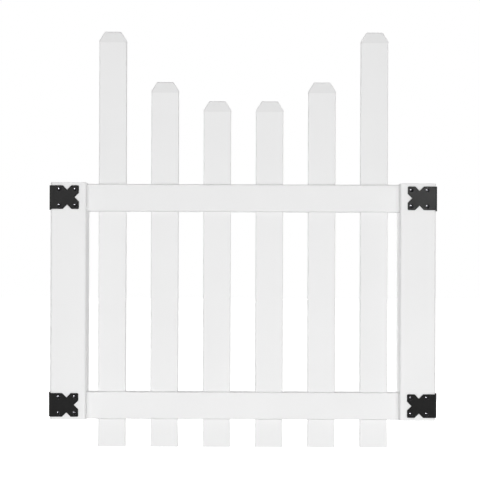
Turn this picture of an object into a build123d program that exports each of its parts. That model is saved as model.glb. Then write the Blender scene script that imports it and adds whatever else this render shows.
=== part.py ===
from build123d import *
from math import sqrt
import os

# Vinyl picket gate leaf with a scalloped top, in millimetres, +Z up.
# The front faces -Y and +X runs to the right as seen from the front.
# The origin is on the outer face of the bottom left corner plate's flange.

# Leaf
leaf_width = 1061.0
tube_height = 652.0

# Uprights: square hollow extrusions
stile_width = 98.0
stile_depth = 98.0
stile_wall = 3.8
stile_corner = 6.0

# Rails: hollow extrusions whose ends sit in pockets of the uprights
rail_height = 76.2
rail_depth = 38.1
rail_wall = 2.5
rail_corner = 4.5
tenon_length = 28.0

# Pickets: hollow extrusions that pass through slots in both rails
picket_count = 6
picket_width = 76.2
picket_depth = 22.2
picket_wall = 1.8
picket_corner = 3.5
picket_pitch = 145.3
picket_foot_drop = 77.5
middle_picket_rise = 231.0
scallop_radius = 432.0
slot_clearance = 0.5

# Picket caps: hollow mouldings with two cut corners
cap_lip = 0.4
cap_rim = 4.5
cap_wall = 2.2
cap_plug_depth = 14.0
ear_width = 16.0
ear_height = 25.0
ear_shoulder_radius = 14.0
ear_tip_radius = 3.5
cap_edge_radius = 3.0

# Closures of the uprights
stile_cap_thickness = 2.0
stile_cap_edge = 0.9
foot_plug_thickness = 3.0
plug_depth = 12.0
plug_wall = 2.5
plug_clearance = 2.0

# Corner plates: bent steel, a notched leaf on the front and a flange round the side
plate_thickness = 3.0
plate_height = 65.0
plate_reach = 81.2
plate_end_margin = 8.7
plate_bend_radius = 4.5
plate_inner_bend = 1.5
notch_depth = 12.0
notch_mouth_radius = 1.5
plate_tip_radius = 3.0
flange_length = 86.0
flange_corner = 6.0
flange_overrun = 2.5
screw_spacing = 44.0
screw_hole_radius = 2.6
bolt_spacing = 44.0
bolt_hole_radius = 4.25

# Places worked out from the sizes above
gate_centre = plate_thickness + leaf_width / 2
stile_x = plate_thickness + stile_width / 2
stile_inner_face = plate_thickness + stile_width
tube_foot = -(plate_height / 2 + plate_end_margin)
tube_top = tube_foot + tube_height
bottom_rail_z = tube_foot + rail_height / 2
top_rail_z = tube_top - rail_height / 2
rail_start = stile_inner_face - tenon_length
rail_length = 2 * (gate_centre - rail_start)
picket_foot = tube_foot - picket_foot_drop
bottom_plate_z = 0.0
top_plate_z = tube_top + stile_cap_thickness - plate_end_margin - plate_height / 2
notch_centre = plate_reach - plate_height / 2
plate_front = -(stile_depth / 2 + plate_thickness)
stile_bore_corner = stile_corner - stile_wall
rail_bore_corner = rail_corner - rail_wall
picket_bore_corner = picket_corner - picket_wall
cap_plug_width = picket_width - 2 * picket_wall
cap_plug_thickness = picket_depth - 2 * picket_wall
mirror_plane = Plane.YZ.offset(gate_centre)

picket_offsets = [(index - (picket_count - 1) / 2) * picket_pitch for index in range(picket_count)]


def scallop_drop(offset):
    """How far the scallop's arc lies below the centre of its circle, at an offset from the gate's middle."""
    return sqrt(scallop_radius**2 - offset**2)


def picket_top(offset):
    """Height of a picket's flat top, on an arc that is lowest at the two middle pickets."""
    return tube_top + middle_picket_rise + scallop_drop(picket_pitch / 2) - scallop_drop(offset)


os.makedirs("parts", exist_ok=True)

# Left upright: a square tube with a pocket for each rail end and holes for the flange bolts
with BuildPart() as left_stile:
    with BuildSketch(Plane.XY.offset(tube_foot)):
        with Locations((stile_x, 0)):
            RectangleRounded(stile_width, stile_depth, stile_corner)
            RectangleRounded(
                stile_width - 2 * stile_wall,
                stile_depth - 2 * stile_wall,
                stile_bore_corner,
                mode=Mode.SUBTRACT,
            )
    extrude(amount=tube_height)
    with BuildSketch(Plane.YZ.offset(stile_inner_face)):
        with Locations((0, bottom_rail_z), (0, top_rail_z)):
            RectangleRounded(rail_depth, rail_height, rail_corner)
        with Locations((0, tube_foot), (0, tube_top)):
            Rectangle(rail_depth, rail_height)
    extrude(amount=-stile_wall, mode=Mode.SUBTRACT)
    with BuildSketch(Plane.YZ.offset(plate_thickness)):
        with Locations((0, bottom_plate_z), (0, top_plate_z)):
            with GridLocations(bolt_spacing, 0, 2, 1):
                Circle(bolt_hole_radius)
    extrude(amount=stile_wall, mode=Mode.SUBTRACT)
left_stile.part.label = "left_stile"
export_step(left_stile.part, "parts/left_stile.step")

with BuildPart() as right_stile:
    mirror(left_stile.part, about=mirror_plane)
right_stile.part.label = "right_stile"
export_step(right_stile.part, "parts/right_stile.step")

# Closures: the plugs fill the tube from the outer wall to just short of the rail end
plug_start = plate_thickness + stile_wall
plug_end = rail_start - plug_clearance
plug_length = plug_end - plug_start
plug_x = (plug_start + plug_end) / 2
plug_width = stile_depth - 2 * stile_wall

with BuildPart() as left_stile_cap:
    with BuildSketch(Plane.XY.offset(tube_top)):
        with Locations((stile_x, 0)):
            RectangleRounded(stile_width, stile_depth, stile_corner)
    extrude(amount=stile_cap_thickness)
    fillet(left_stile_cap.faces().sort_by(Axis.Z)[-1].edges(), stile_cap_edge)
    with BuildSketch(Plane.XY.offset(tube_top)):
        with Locations((plug_x, 0)):
            RectangleRounded(plug_length, plug_width, stile_bore_corner)
            Rectangle(plug_length - 2 * plug_wall, plug_width - 2 * plug_wall, mode=Mode.SUBTRACT)
    extrude(amount=-plug_depth)
left_stile_cap.part.label = "left_stile_cap"
export_step(left_stile_cap.part, "parts/left_stile_cap.step")

with BuildPart() as right_stile_cap:
    mirror(left_stile_cap.part, about=mirror_plane)
right_stile_cap.part.label = "right_stile_cap"
export_step(right_stile_cap.part, "parts/right_stile_cap.step")

with BuildPart() as left_foot_plug:
    with BuildSketch(Plane.XY.offset(tube_foot)):
        with Locations((plug_x, 0)):
            RectangleRounded(plug_length, plug_width, stile_bore_corner)
    extrude(amount=plug_depth)
    with BuildSketch(Plane.XY.offset(tube_foot + foot_plug_thickness)):
        with Locations((plug_x, 0)):
            Rectangle(plug_length - 2 * plug_wall, plug_width - 2 * plug_wall)
    extrude(amount=plug_depth, mode=Mode.SUBTRACT)
left_foot_plug.part.label = "left_stile_foot_plug"
export_step(left_foot_plug.part, "parts/left_stile_foot_plug.step")

with BuildPart() as right_foot_plug:
    mirror(left_foot_plug.part, about=mirror_plane)
right_foot_plug.part.label = "right_stile_foot_plug"
export_step(right_foot_plug.part, "parts/right_stile_foot_plug.step")

# Rails: hollow, with a slot through the top and bottom walls for each picket
for node, rail_z in (("bottom_rail", bottom_rail_z), ("top_rail", top_rail_z)):
    with BuildPart() as rail:
        with BuildSketch(Plane.YZ.offset(rail_start)):
            with Locations((0, rail_z)):
                RectangleRounded(rail_depth, rail_height, rail_corner)
                RectangleRounded(
                    rail_depth - 2 * rail_wall,
                    rail_height - 2 * rail_wall,
                    rail_bore_corner,
                    mode=Mode.SUBTRACT,
                )
        extrude(amount=rail_length)
        with BuildSketch(Plane.XY.offset(rail_z)):
            with Locations(*[(gate_centre + offset, 0) for offset in picket_offsets]):
                RectangleRounded(picket_width, picket_depth + 2 * slot_clearance, picket_corner)
        extrude(amount=rail_height, both=True, mode=Mode.SUBTRACT)
    rail.part.label = node
    export_step(rail.part, f"parts/{node}.step")

# Pickets and their caps, numbered from the left
for index, offset in enumerate(picket_offsets):
    picket_x = gate_centre + offset
    cap_base = picket_top(offset) - ear_height - cap_rim

    with BuildPart() as picket:
        with BuildSketch(Plane.XY.offset(picket_foot)):
            with Locations((picket_x, 0)):
                RectangleRounded(picket_width, picket_depth, picket_corner)
                RectangleRounded(
                    cap_plug_width,
                    cap_plug_thickness,
                    picket_bore_corner,
                    mode=Mode.SUBTRACT,
                )
        extrude(amount=cap_base - picket_foot)
    picket.part.label = f"picket_{index + 1}"
    export_step(picket.part, f"parts/picket_{index + 1}.step")

    # The cap's outline is drawn from the front, with the two top corners cut off
    half_cap = picket_width / 2 + cap_lip
    half_cavity = cap_plug_width / 2 - cap_wall
    ear_foot = cap_base + cap_rim
    with BuildPart() as picket_cap:
        with BuildSketch(Plane.XZ) as outline:
            with BuildLine():
                Polyline(
                    (picket_x - half_cap, cap_base),
                    (picket_x + half_cap, cap_base),
                    (picket_x + half_cap, ear_foot),
                    (picket_x + half_cap - ear_width, picket_top(offset)),
                    (picket_x - half_cap + ear_width, picket_top(offset)),
                    (picket_x - half_cap, ear_foot),
                    close=True,
                )
            make_face()
            fillet(outline.vertices().group_by(Axis.Y)[2], ear_tip_radius)
            fillet(outline.vertices().group_by(Axis.Y)[1], ear_shoulder_radius)
        extrude(amount=picket_depth / 2 + cap_lip, both=True)
        rim_edges = picket_cap.faces().filter_by(Axis.Y).edges().sort_by(Axis.Z)
        base_edge_count = 2
        fillet(rim_edges[base_edge_count:], cap_edge_radius)
        with BuildSketch(Plane.XY.offset(cap_base)):
            with Locations((picket_x, 0)):
                RectangleRounded(cap_plug_width, cap_plug_thickness, picket_bore_corner)
        extrude(amount=-cap_plug_depth)
        with BuildSketch(Plane.XZ):
            with BuildLine():
                Polyline(
                    (picket_x - half_cavity, cap_base - cap_plug_depth),
                    (picket_x + half_cavity, cap_base - cap_plug_depth),
                    (picket_x + half_cavity, ear_foot - cap_wall),
                    (picket_x + half_cavity - ear_width, picket_top(offset) - 2 * cap_wall),
                    (picket_x - half_cavity + ear_width, picket_top(offset) - 2 * cap_wall),
                    (picket_x - half_cavity, ear_foot - cap_wall),
                    close=True,
                )
            make_face()
        extrude(amount=cap_plug_thickness / 2 - cap_wall, both=True, mode=Mode.SUBTRACT)
    picket_cap.part.label = f"picket_cap_{index + 1}"
    export_step(picket_cap.part, f"parts/picket_cap_{index + 1}.step")

# Corner plates: the left pair is bent and cut, and the right pair is its mirror image.
# The flange runs a little past the leaf, at the end towards the middle of the gate.
half_plate = plate_height / 2
for level, plate_z, inner_side in (("bottom", bottom_plate_z, 1), ("top", top_plate_z, -1)):
    section_foot = plate_z - half_plate + min(inner_side, 0) * flange_overrun
    with BuildPart() as left_plate:
        with BuildSketch(Plane.XY.offset(section_foot)) as section:
            with BuildLine():
                Polyline(
                    (0, plate_front),
                    (plate_reach, plate_front),
                    (plate_reach, plate_front + plate_thickness),
                    (plate_thickness, plate_front + plate_thickness),
                    (plate_thickness, plate_front + flange_length),
                    (0, plate_front + flange_length),
                    close=True,
                )
            make_face()
            fillet(section.vertices().sort_by_distance((0, plate_front))[0], plate_bend_radius)
            inner_corner = (plate_thickness, plate_front + plate_thickness)
            fillet(section.vertices().sort_by_distance(inner_corner)[0], plate_inner_bend)
        extrude(amount=plate_height + flange_overrun)
        fillet(left_plate.edges().filter_by(Axis.X).group_by(Axis.Y)[-1], flange_corner)

        face_plane = Plane(origin=(0, 0, plate_z), x_dir=(1, 0, 0), z_dir=(0, -1, 0))
        with BuildSketch(face_plane) as butterfly:
            with BuildLine():
                Polyline(
                    (0, -half_plate),
                    (notch_centre - notch_depth, -half_plate),
                    (notch_centre, notch_depth - half_plate),
                    (notch_centre + notch_depth, -half_plate),
                    (plate_reach, -half_plate),
                    (plate_reach, -notch_depth),
                    (plate_reach - notch_depth, 0),
                    (plate_reach, notch_depth),
                    (plate_reach, half_plate),
                    (notch_centre + notch_depth, half_plate),
                    (notch_centre, half_plate - notch_depth),
                    (notch_centre - notch_depth, half_plate),
                    (0, half_plate),
                    close=True,
                )
            make_face()
            tips = [(plate_reach, -half_plate), (plate_reach, half_plate)]
            for tip in tips:
                fillet(butterfly.vertices().sort_by_distance(tip)[0], plate_tip_radius)
            mouths = [(plate_reach, side * notch_depth) for side in (-1, 1)]
            for side in (-1, 1):
                mouths.append((notch_centre - notch_depth, side * half_plate))
                mouths.append((notch_centre + notch_depth, side * half_plate))
            for mouth in mouths:
                fillet(butterfly.vertices().sort_by_distance(mouth)[0], notch_mouth_radius)
            with Locations((0, inner_side * half_plate)):
                Rectangle(2 * plate_bend_radius, 2 * flange_overrun)
            with Locations((notch_centre, 0)):
                with GridLocations(screw_spacing, screw_spacing, 2, 2):
                    Circle(screw_hole_radius, mode=Mode.SUBTRACT)
        extrude(amount=2 * stile_depth, both=True, mode=Mode.INTERSECT)

        with BuildSketch(Plane.YZ):
            with Locations((0, plate_z)):
                with GridLocations(bolt_spacing, 0, 2, 1):
                    Circle(bolt_hole_radius)
        extrude(amount=plate_thickness, mode=Mode.SUBTRACT)
    left_plate.part.label = f"{level}_left_corner_plate"
    export_step(left_plate.part, f"parts/{level}_left_corner_plate.step")

    with BuildPart() as right_plate:
        mirror(left_plate.part, about=mirror_plane)
    right_plate.part.label = f"{level}_right_corner_plate"
    export_step(right_plate.part, f"parts/{level}_right_corner_plate.step")
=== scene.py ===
import math

import bpy
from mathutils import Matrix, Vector


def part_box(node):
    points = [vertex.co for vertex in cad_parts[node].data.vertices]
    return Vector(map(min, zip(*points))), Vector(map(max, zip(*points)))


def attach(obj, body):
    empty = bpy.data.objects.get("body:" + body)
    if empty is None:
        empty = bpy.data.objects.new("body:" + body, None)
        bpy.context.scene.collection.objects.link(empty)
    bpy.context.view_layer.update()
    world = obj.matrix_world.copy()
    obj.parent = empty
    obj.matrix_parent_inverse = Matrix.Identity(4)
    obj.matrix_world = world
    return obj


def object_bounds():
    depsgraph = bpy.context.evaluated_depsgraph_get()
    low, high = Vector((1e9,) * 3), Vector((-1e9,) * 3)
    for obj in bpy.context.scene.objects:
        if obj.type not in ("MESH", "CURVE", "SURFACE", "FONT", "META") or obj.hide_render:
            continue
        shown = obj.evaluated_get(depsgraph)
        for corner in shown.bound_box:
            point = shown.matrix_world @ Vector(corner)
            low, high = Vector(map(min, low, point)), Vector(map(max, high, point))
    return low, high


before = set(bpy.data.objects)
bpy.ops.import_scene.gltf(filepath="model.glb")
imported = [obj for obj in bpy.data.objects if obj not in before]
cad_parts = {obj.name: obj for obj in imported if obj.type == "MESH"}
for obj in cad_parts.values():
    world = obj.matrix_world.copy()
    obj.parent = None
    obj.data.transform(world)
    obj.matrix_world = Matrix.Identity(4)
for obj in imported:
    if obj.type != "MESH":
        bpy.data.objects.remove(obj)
cad_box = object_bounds()

# Sizes in metres, in the frame of the gate: front towards -Y, +X to the right, +Z up
MM = 0.001
BODY = "root"

# View: a level camera straight in front of the leaf, a long way off
PHOTO_SIDE = 480
PHOTO_MIDDLE_PX = PHOTO_SIDE / 2
GATE_CENTRE_PX = 243.0
METRES_PER_PX = 2.752 * MM
LENS_TO_STILE_FRONT = 4.15
EYE_HEIGHT = 0.319
PICTURE_MIDDLE_HEIGHT = 0.4553
CAMERA_ROLL = math.radians(0.20)
SENSOR_WIDTH = 36.0      # in millimetres, as a camera takes it

# Floor: it ends just in front of the gate, so that the plates don't mirror it
FLOOR_GAP = 0.200
FLOOR_FRONT = 0.10
FLOOR_REACH = 100.0
FLOOR_GLOW = 0.90

# World: strengths, and the upward or backward part of a unit direction at which each of them holds
AMBIENT = 0.43
DIM_ABOVE = 0.20
DIM_ABOVE_AT = 0.7
DIM_FRONT = 0.04
DIM_FRONT_AT = -0.4
BACKDROP_AT = 0.2

# Screws of the corner plates
LEAF_HEIGHT = 65.0 * MM
SCREW_SPACING = 44.0 * MM
NOTCH_CENTRE_FROM_TIP = 32.5 * MM
SCREW_SIZES = {
    "Head Radius": 5.5 * MM,
    "Head Height": 2.2 * MM,
    "Crown Radius": 10.0 * MM,
    "Shank Radius": 2.4 * MM,
    "Shank Length": 16.0 * MM,
    "Recess Reach": 3.6 * MM,
    "Recess Width": 1.2 * MM,
}
SHANK_SINK = 0.46        # depth of the shank's middle behind the plate's face, as a share of its length
BALL_SEGMENTS = 64
HEAD_SIDES = 48
SHANK_SIDES = 20
CREASE_ANGLE = math.radians(35)
SCREW_SEED = 7

# Surface of PVC, extruded or moulded
PVC = {"IOR": 1.53, "Specular IOR Level": 0.25}

# Sockets of a Mix node that mixes colours, which share their names with those for numbers
MIX_FROM = 6
MIX_TO = 7
MIX_RESULT = 2

PLATES = [f"{level}_{side}_corner_plate" for level in ("bottom", "top") for side in ("left", "right")]
RAILS = ["bottom_rail", "top_rail"]
MOULDINGS = [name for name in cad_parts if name.startswith("picket_cap")]
MOULDINGS += [f"{side}_stile_{end}" for side in ("left", "right") for end in ("cap", "foot_plug")]
UPRIGHTS = [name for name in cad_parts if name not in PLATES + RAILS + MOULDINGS]


def linear(hex_colour):
    """sRGB hex value to the linear colour that a shader socket takes."""
    channels = [int(hex_colour[i:i + 2], 16) / 255 for i in (1, 3, 5)]
    return [c / 12.92 if c <= 0.04045 else ((c + 0.055) / 1.055) ** 2.4 for c in channels] + [1.0]


def add_node(tree, kind, sockets=None, **settings):
    """Adds one node with its settings, and sets each named socket to a value or links it to an output."""
    node = tree.nodes.new(kind)
    for name, value in settings.items():
        setattr(node, name, value)
    for socket, value in (sockets or {}).items():
        if isinstance(value, bpy.types.NodeSocket):
            tree.links.new(value, node.inputs[socket])
        else:
            node.inputs[socket].default_value = value
    return node


def new_material(name):
    """A material with an empty node tree."""
    material = bpy.data.materials.new(name)
    material.use_nodes = True
    material.node_tree.nodes.clear()
    return material, material.node_tree


# Rigid PVC drawn through a die: clean white, soft gloss, faint die lines and slow waves in the flat walls
def extruded_vinyl(name, along):
    material, tree = new_material(name)
    die_line = 4.0 * MM      # real die lines are a tenth of this, too fine to show
    line_depth = 0.05 * MM
    line_stretch = 250.0
    wave_length = 160.0 * MM
    squeeze = [1.0, 1.0, 1.0]
    squeeze["XYZ".index(along)] = 1 / line_stretch
    place = add_node(tree, "ShaderNodeTexCoord").outputs["Object"]
    drawn = add_node(tree, "ShaderNodeMapping", {"Vector": place, "Scale": squeeze}).outputs[0]
    lines = add_node(
        tree, "ShaderNodeTexNoise", {"Vector": drawn, "Scale": 1 / die_line, "Detail": 2.0}).outputs[0]
    waves = add_node(
        tree, "ShaderNodeTexNoise", {"Vector": place, "Scale": 1 / wave_length, "Detail": 1.0}).outputs[0]
    tint = add_node(
        tree, "ShaderNodeMix",
        {"Factor": waves, MIX_FROM: linear("#EEEEEE"), MIX_TO: linear("#F2F2F2")}, data_type="RGBA")
    gloss = add_node(tree, "ShaderNodeMapRange", {"Value": lines, "To Min": 0.38, "To Max": 0.48})
    relief = add_node(tree, "ShaderNodeBump", {"Height": lines, "Strength": 0.15, "Distance": line_depth})
    surface = add_node(tree, "ShaderNodeBsdfPrincipled", PVC | {
        "Base Color": tint.outputs[MIX_RESULT],
        "Roughness": gloss.outputs[0],
        "Normal": relief.outputs[0],
    })
    add_node(tree, "ShaderNodeOutputMaterial", {"Surface": surface.outputs[0]})
    return material


# Injection-moulded PVC: a shade greyer than the extrusions, partly as painted shade for the dimmer tops,
# more matt, with a fine spark-eroded grain
def moulded_vinyl():
    material, tree = new_material("moulded_white_pvc")
    grain = 1.6 * MM         # a real grain is a quarter of this, too fine to show
    grain_depth = 0.06 * MM
    place = add_node(tree, "ShaderNodeTexCoord").outputs["Object"]
    grit = add_node(
        tree, "ShaderNodeTexNoise", {"Vector": place, "Scale": 1 / grain, "Detail": 3.0}).outputs[0]
    # Tint a shade greyer than the extrusions: partly the moulding's own tone, partly painted shade for the
    # dim picket tops
    tint = add_node(
        tree, "ShaderNodeMix",
        {"Factor": grit, MIX_FROM: linear("#E8E8E8"), MIX_TO: linear("#ECECEC")}, data_type="RGBA")
    gloss = add_node(tree, "ShaderNodeMapRange", {"Value": grit, "To Min": 0.46, "To Max": 0.58})
    relief = add_node(tree, "ShaderNodeBump", {"Height": grit, "Strength": 0.12, "Distance": grain_depth})
    surface = add_node(tree, "ShaderNodeBsdfPrincipled", PVC | {
        "Base Color": tint.outputs[MIX_RESULT],
        "Roughness": gloss.outputs[0],
        "Normal": relief.outputs[0],
    })
    add_node(tree, "ShaderNodeOutputMaterial", {"Surface": surface.outputs[0]})
    return material


# Black powder coat on bent steel: a satin black with the soft orange peel that the baked powder leaves
def powder_coated_steel():
    material, tree = new_material("black_powder_coated_steel")
    peel = 2.4 * MM          # the real peel is a third of this, too fine to show
    peel_depth = 0.12 * MM
    patch = 22.0 * MM
    place = add_node(tree, "ShaderNodeTexCoord").outputs["Object"]
    bumps = add_node(
        tree, "ShaderNodeTexNoise", {"Vector": place, "Scale": 1 / peel, "Detail": 2.0}).outputs[0]
    patches = add_node(
        tree, "ShaderNodeTexNoise", {"Vector": place, "Scale": 1 / patch, "Detail": 2.0}).outputs[0]
    tint = add_node(
        tree, "ShaderNodeMix",
        {"Factor": patches, MIX_FROM: linear("#202020"), MIX_TO: linear("#262626")}, data_type="RGBA")
    gloss = add_node(tree, "ShaderNodeMapRange", {"Value": bumps, "To Min": 0.20, "To Max": 0.28})
    relief = add_node(tree, "ShaderNodeBump", {"Height": bumps, "Strength": 0.25, "Distance": peel_depth})
    surface = add_node(tree, "ShaderNodeBsdfPrincipled", {
        "IOR": 1.5,
        "Specular IOR Level": 0.30,
        "Base Color": tint.outputs[MIX_RESULT],
        "Roughness": gloss.outputs[0],
        "Normal": relief.outputs[0],
    })
    add_node(tree, "ShaderNodeOutputMaterial", {"Surface": surface.outputs[0]})
    return material


# Black zinc plate on steel: a smooth metal that mirrors a dim room, with a sharp glint on each head
def zinc_plated_steel():
    material, tree = new_material("black_zinc_plated_steel")
    mottle = 0.8 * MM        # real plating is mottled far finer than this, too fine to show
    place = add_node(tree, "ShaderNodeTexCoord").outputs["Object"]
    mottling = add_node(
        tree, "ShaderNodeTexNoise", {"Vector": place, "Scale": 1 / mottle, "Detail": 2.0}).outputs[0]
    tint = add_node(
        tree, "ShaderNodeMix",
        {"Factor": mottling, MIX_FROM: linear("#86868A"), MIX_TO: linear("#8E8E92")}, data_type="RGBA")
    gloss = add_node(tree, "ShaderNodeMapRange", {"Value": mottling, "To Min": 0.20, "To Max": 0.30})
    surface = add_node(tree, "ShaderNodeBsdfPrincipled", {
        "Metallic": 1.0,
        "Base Color": tint.outputs[MIX_RESULT],
        "Roughness": gloss.outputs[0],
    })
    add_node(tree, "ShaderNodeOutputMaterial", {"Surface": surface.outputs[0]})
    return material


def dress(names, material):
    """Gives CAD nodes their finish."""
    for name in names:
        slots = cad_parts[name].data.materials
        slots.clear()
        slots.append(material)


def screw_places():
    """Points on the front faces of the corner plates, where a screw head bears on each of the four holes."""
    places = []
    for plate in PLATES:
        low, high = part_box(plate)
        side = 1 if "left" in plate else -1
        tip = high.x if side > 0 else low.x
        centre_x = tip - side * NOTCH_CENTRE_FROM_TIP
        # The flange runs past the leaf at its inner end, so the leaf's outer end gives its middle
        centre_z = low.z + LEAF_HEIGHT / 2 if "bottom" in plate else high.z - LEAF_HEIGHT / 2
        for across in (-SCREW_SPACING / 2, SCREW_SPACING / 2):
            for up in (-SCREW_SPACING / 2, SCREW_SPACING / 2):
                places.append((centre_x + across, low.y, centre_z + up))
    return places


def screw_head(tree, given):
    """A truss head with a cross recess, which faces +Z and bears on the plane at 0."""
    # Dome: what a disc keeps of a larger ball, so that it is round in front and flat behind
    ball = add_node(
        tree, "GeometryNodeMeshUVSphere",
        {"Segments": BALL_SEGMENTS, "Rings": BALL_SEGMENTS, "Radius": given["Crown Radius"]}).outputs["Mesh"]
    sunk = add_node(
        tree, "ShaderNodeMath",
        {0: given["Head Height"], 1: given["Crown Radius"]}, operation="SUBTRACT").outputs[0]
    ball_place = add_node(tree, "ShaderNodeCombineXYZ", {"Z": sunk}).outputs[0]
    crown = add_node(tree, "GeometryNodeTransform", {"Geometry": ball, "Translation": ball_place}).outputs[0]
    thickness = add_node(
        tree, "ShaderNodeMath", {0: given["Head Height"], 1: 2.0}, operation="MULTIPLY").outputs[0]
    blank = add_node(
        tree, "GeometryNodeMeshCylinder",
        {"Vertices": HEAD_SIDES, "Radius": given["Head Radius"], "Depth": thickness}).outputs["Mesh"]
    top_place = add_node(tree, "ShaderNodeCombineXYZ", {"Z": given["Head Height"]}).outputs[0]
    disc = add_node(tree, "GeometryNodeTransform", {"Geometry": blank, "Translation": top_place}).outputs[0]
    dome = add_node(tree, "GeometryNodeMeshBoolean", operation="INTERSECT", solver="EXACT")
    for piece in (crown, disc):
        tree.links.new(piece, dome.inputs["Mesh 2"])

    # Cross recess: two grooves, each cut by a square bar that lies on its edge
    bar_size = add_node(
        tree, "ShaderNodeCombineXYZ",
        {"X": given["Recess Reach"], "Y": given["Recess Width"], "Z": given["Recess Width"]}).outputs[0]
    bar = add_node(tree, "GeometryNodeMeshCube", {"Size": bar_size}).outputs["Mesh"]
    head = add_node(
        tree, "GeometryNodeMeshBoolean",
        {"Mesh 1": dome.outputs["Mesh"]}, operation="DIFFERENCE", solver="EXACT")
    for turn in (0.0, math.pi / 2):
        arm = add_node(
            tree, "GeometryNodeTransform",
            {"Geometry": bar, "Translation": top_place, "Rotation": (math.pi / 4, 0.0, turn)}).outputs[0]
        tree.links.new(arm, head.inputs["Mesh 2"])
    return head.outputs["Mesh"]


def screw_shank(tree, given):
    """A rod behind the head, through the plate and the wall of the upright."""
    rod = add_node(tree, "GeometryNodeMeshCylinder", {
        "Vertices": SHANK_SIDES,
        "Radius": given["Shank Radius"],
        "Depth": given["Shank Length"],
    }).outputs["Mesh"]
    middle = add_node(
        tree, "ShaderNodeMath", {0: given["Shank Length"], 1: -SHANK_SINK}, operation="MULTIPLY").outputs[0]
    rod_place = add_node(tree, "ShaderNodeCombineXYZ", {"Z": middle}).outputs[0]
    return add_node(tree, "GeometryNodeTransform", {"Geometry": rod, "Translation": rod_place}).outputs[0]


def screw_tree(material):
    """Geometry nodes that put one screw on each point of a mesh, and the values of their inputs."""
    tree = bpy.data.node_groups.new("truss_head_screws", "GeometryNodeTree")
    values = {}
    tree.interface.new_socket("Geometry", in_out="INPUT", socket_type="NodeSocketGeometry")
    for name, size in SCREW_SIZES.items():
        socket = tree.interface.new_socket(name, in_out="INPUT", socket_type="NodeSocketFloat")
        values[socket.identifier] = size
    seed = tree.interface.new_socket("Seed", in_out="INPUT", socket_type="NodeSocketInt")
    values[seed.identifier] = SCREW_SEED
    tree.interface.new_socket("Geometry", in_out="OUTPUT", socket_type="NodeSocketGeometry")
    given = add_node(tree, "NodeGroupInput").outputs

    whole = add_node(tree, "GeometryNodeMeshBoolean", operation="UNION", solver="EXACT")
    for piece in (screw_head(tree, given), screw_shank(tree, given)):
        tree.links.new(piece, whole.inputs["Mesh 2"])

    # One screw on each point, facing the front, each driven home to its own turn
    turn = add_node(
        tree, "FunctionNodeRandomValue",
        {"Max": 2 * math.pi, "Seed": given["Seed"]}, data_type="FLOAT").outputs[1]
    facing = add_node(tree, "ShaderNodeCombineXYZ", {"X": math.pi / 2, "Y": turn}).outputs[0]
    placed = add_node(
        tree, "GeometryNodeInstanceOnPoints",
        {"Points": given["Geometry"], "Instance": whole.outputs["Mesh"], "Rotation": facing}).outputs[0]
    real = add_node(tree, "GeometryNodeRealizeInstances", {"Geometry": placed}).outputs[0]
    finished = add_node(tree, "GeometryNodeSetMaterial", {"Geometry": real, "Material": material}).outputs[0]
    add_node(tree, "NodeGroupOutput", {"Geometry": finished})
    return tree, values


def make_screws():
    """The sixteen screws of the corner plates, as one plain mesh."""
    points = bpy.data.meshes.new("screw_places")
    points.from_pydata(screw_places(), [], [])
    screws = bpy.data.objects.new("corner_plate_screws", points)
    bpy.context.scene.collection.objects.link(screws)
    modifier = screws.modifiers.new("screws", "NODES")
    modifier.node_group, values = screw_tree(zinc_plated_steel())
    for identifier, value in values.items():
        modifier[identifier] = value
    made = bpy.data.meshes.new_from_object(screws.evaluated_get(bpy.context.evaluated_depsgraph_get()))
    screws.modifiers.remove(modifier)
    screws.data = made
    made.shade_smooth()
    made.set_sharp_from_angle(angle=CREASE_ANGLE)
    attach(screws, BODY)


def seen_by_eye(tree):
    """1 for a ray of the camera, a reflection or a refraction, which shows the backdrop, and 0 for light."""
    path = add_node(tree, "ShaderNodeLightPath").outputs
    seen = add_node(
        tree, "ShaderNodeMath",
        {0: path["Is Camera Ray"], 1: path["Is Glossy Ray"]}, operation="MAXIMUM").outputs[0]
    return add_node(
        tree, "ShaderNodeMath", {0: seen, 1: path["Is Transmission Ray"]}, operation="MAXIMUM").outputs[0]


def make_world():
    """White to the eye, a plain soft light from all round, and a dim front of the room in reflections."""
    world = bpy.data.worlds.new("studio")
    bpy.context.scene.world = world
    world.use_nodes = True
    tree = world.node_tree
    tree.nodes.clear()
    direction = add_node(tree, "ShaderNodeTexCoord").outputs["Generated"]
    along = add_node(tree, "ShaderNodeSeparateXYZ", {0: direction}).outputs
    light = add_node(tree, "ShaderNodeMapRange", {
        "Value": along["Z"],
        "From Max": DIM_ABOVE_AT,
        "To Min": AMBIENT,
        "To Max": DIM_ABOVE,
    }).outputs[0]
    reflected = add_node(tree, "ShaderNodeMapRange", {
        "Value": along["Y"],
        "From Min": DIM_FRONT_AT,
        "From Max": BACKDROP_AT,
        "To Min": DIM_FRONT,
        "To Max": 1.0,
    }).outputs[0]
    straight = add_node(tree, "ShaderNodeLightPath").outputs["Is Camera Ray"]
    backdrop = add_node(tree, "ShaderNodeMath", {0: straight, 1: reflected}, operation="MAXIMUM").outputs[0]
    strength = add_node(tree, "ShaderNodeMapRange", {
        "Value": seen_by_eye(tree),
        "To Min": light,
        "To Max": backdrop,
    }).outputs[0]
    back = add_node(tree, "ShaderNodeBackground", {"Color": (1.0, 1.0, 1.0, 1.0), "Strength": strength})
    add_node(tree, "ShaderNodeOutputWorld", {"Surface": back.outputs[0]})


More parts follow.
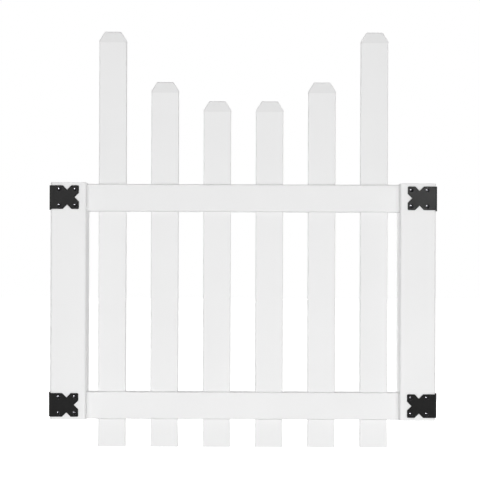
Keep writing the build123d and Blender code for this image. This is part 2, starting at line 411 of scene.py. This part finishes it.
def make_floor():
    """A pale matt floor a little below the pickets, which keeps the shadow of the gate."""
    material, tree = new_material("studio_floor")
    paint = add_node(tree, "ShaderNodeBsdfDiffuse", {"Color": linear("#EBEBEB")})
    glow = add_node(tree, "ShaderNodeMath", {0: seen_by_eye(tree), 1: FLOOR_GLOW}, operation="MULTIPLY")
    light = add_node(tree, "ShaderNodeEmission", {"Strength": glow.outputs[0]})
    both = add_node(tree, "ShaderNodeAddShader", {0: paint.outputs[0], 1: light.outputs[0]})
    add_node(tree, "ShaderNodeOutputMaterial", {"Surface": both.outputs[0]})
    level = cad_box[0].z - FLOOR_GAP
    front = cad_box[0].y - FLOOR_FRONT
    corners = [
        (-FLOOR_REACH, front, level), (FLOOR_REACH, front, level),
        (FLOOR_REACH, FLOOR_REACH, level), (-FLOOR_REACH, FLOOR_REACH, level),
    ]
    mesh = bpy.data.meshes.new("floor")
    mesh.from_pydata(corners, [], [(0, 1, 2, 3)])
    mesh.materials.append(material)
    floor = bpy.data.objects.new("floor", mesh)
    bpy.context.scene.collection.objects.link(floor)


def make_lamp(name, place, aim, width, height, radiance, mirrored=True, lights=True):
    """A soft box that faces a point of the gate. Its power follows from its size and its radiance."""
    lamp = bpy.data.lights.new(name, "AREA")
    lamp.shape = "RECTANGLE"
    lamp.size = width
    lamp.size_y = height
    lamp.energy = radiance * math.pi * width * height
    soft_box = bpy.data.objects.new(name, lamp)
    soft_box.location = place
    soft_box.rotation_euler = (Vector(aim) - Vector(place)).to_track_quat("-Z", "Y").to_euler()
    soft_box.visible_camera = False
    soft_box.visible_glossy = mirrored
    soft_box.visible_diffuse = lights
    bpy.context.scene.collection.objects.link(soft_box)


def make_camera():
    """A long lens in front of the leaf, level, with the small roll of the photo."""
    stile_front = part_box("left_stile")[0].y
    middle_x = (cad_box[0].x + cad_box[1].x) / 2
    camera = bpy.data.cameras.new("camera")
    camera.sensor_width = SENSOR_WIDTH
    picture_width = PHOTO_SIDE * METRES_PER_PX
    camera.lens = SENSOR_WIDTH * LENS_TO_STILE_FRONT / picture_width
    camera.shift_y = (PICTURE_MIDDLE_HEIGHT - EYE_HEIGHT) / picture_width
    eye = bpy.data.objects.new("camera", camera)
    eye.location = (
        middle_x + (PHOTO_MIDDLE_PX - GATE_CENTRE_PX) * METRES_PER_PX,
        stile_front - LENS_TO_STILE_FRONT,
        EYE_HEIGHT,
    )
    eye.rotation_euler = (math.pi / 2, -CAMERA_ROLL, 0.0)
    bpy.context.scene.collection.objects.link(eye)
    bpy.context.scene.camera = eye


dress(UPRIGHTS, extruded_vinyl("extruded_white_pvc_upright", "Z"))
dress(RAILS, extruded_vinyl("extruded_white_pvc_rail", "X"))
dress(MOULDINGS, moulded_vinyl())
dress(PLATES, powder_coated_steel())
make_screws()
make_world()
make_floor()

# Lamps on the white vinyl, which don't show in reflections, so that the plates stay black
make_lamp(
    "low_panel", place=(0.75, -3.40, -0.30), aim=(0.65, 0.0, -0.10),
    width=3.2, height=1.6, radiance=2.45, mirrored=False)
make_lamp(
    "high_panel", place=(0.70, -8.00, 2.80), aim=(0.65, 0.0, 0.35),
    width=5.6, height=2.4, radiance=4.4, mirrored=False)
make_lamp(
    "back_panel", place=(0.53, 4.60, 0.60), aim=(0.53, 0.0, 0.40),
    width=1.6, height=2.0, radiance=8.0, mirrored=False)
make_lamp(
    "left_panel", place=(-3.00, 3.40, 0.60), aim=(0.53, 0.0, 0.40),
    width=2.0, height=2.0, radiance=6.0, mirrored=False)
make_lamp(
    "right_panel", place=(5.06, 0.00, 0.20), aim=(0.53, 0.0, 0.20),
    width=0.3, height=1.0, radiance=13.0, mirrored=False)
make_lamp(
    "low_strip", place=(0.53, -0.90, -0.20), aim=(0.53, 0.0, 0.15),
    width=3.0, height=0.12, radiance=1.3, mirrored=False)

# A box for reflections alone, which gives the screw heads their glints
make_lamp(
    "glint_box", place=(-2.80, -7.20, 3.40), aim=(0.53, 0.0, 0.40),
    width=2.0, height=2.0, radiance=26.0, lights=False)

# Small boxes that the upper plates mirror, which makes them paler than the lower ones
make_lamp(
    "spot_left", place=(-0.52, -4.00, 0.92), aim=(0.04, 0.0, 0.57),
    width=0.3, height=0.3, radiance=2.6)
make_lamp(
    "spot_right", place=(1.58, -4.00, 0.92), aim=(1.03, 0.0, 0.57),
    width=0.3, height=0.3, radiance=14.5)
make_camera()

bpy.context.scene.view_settings.view_transform = "Standard"
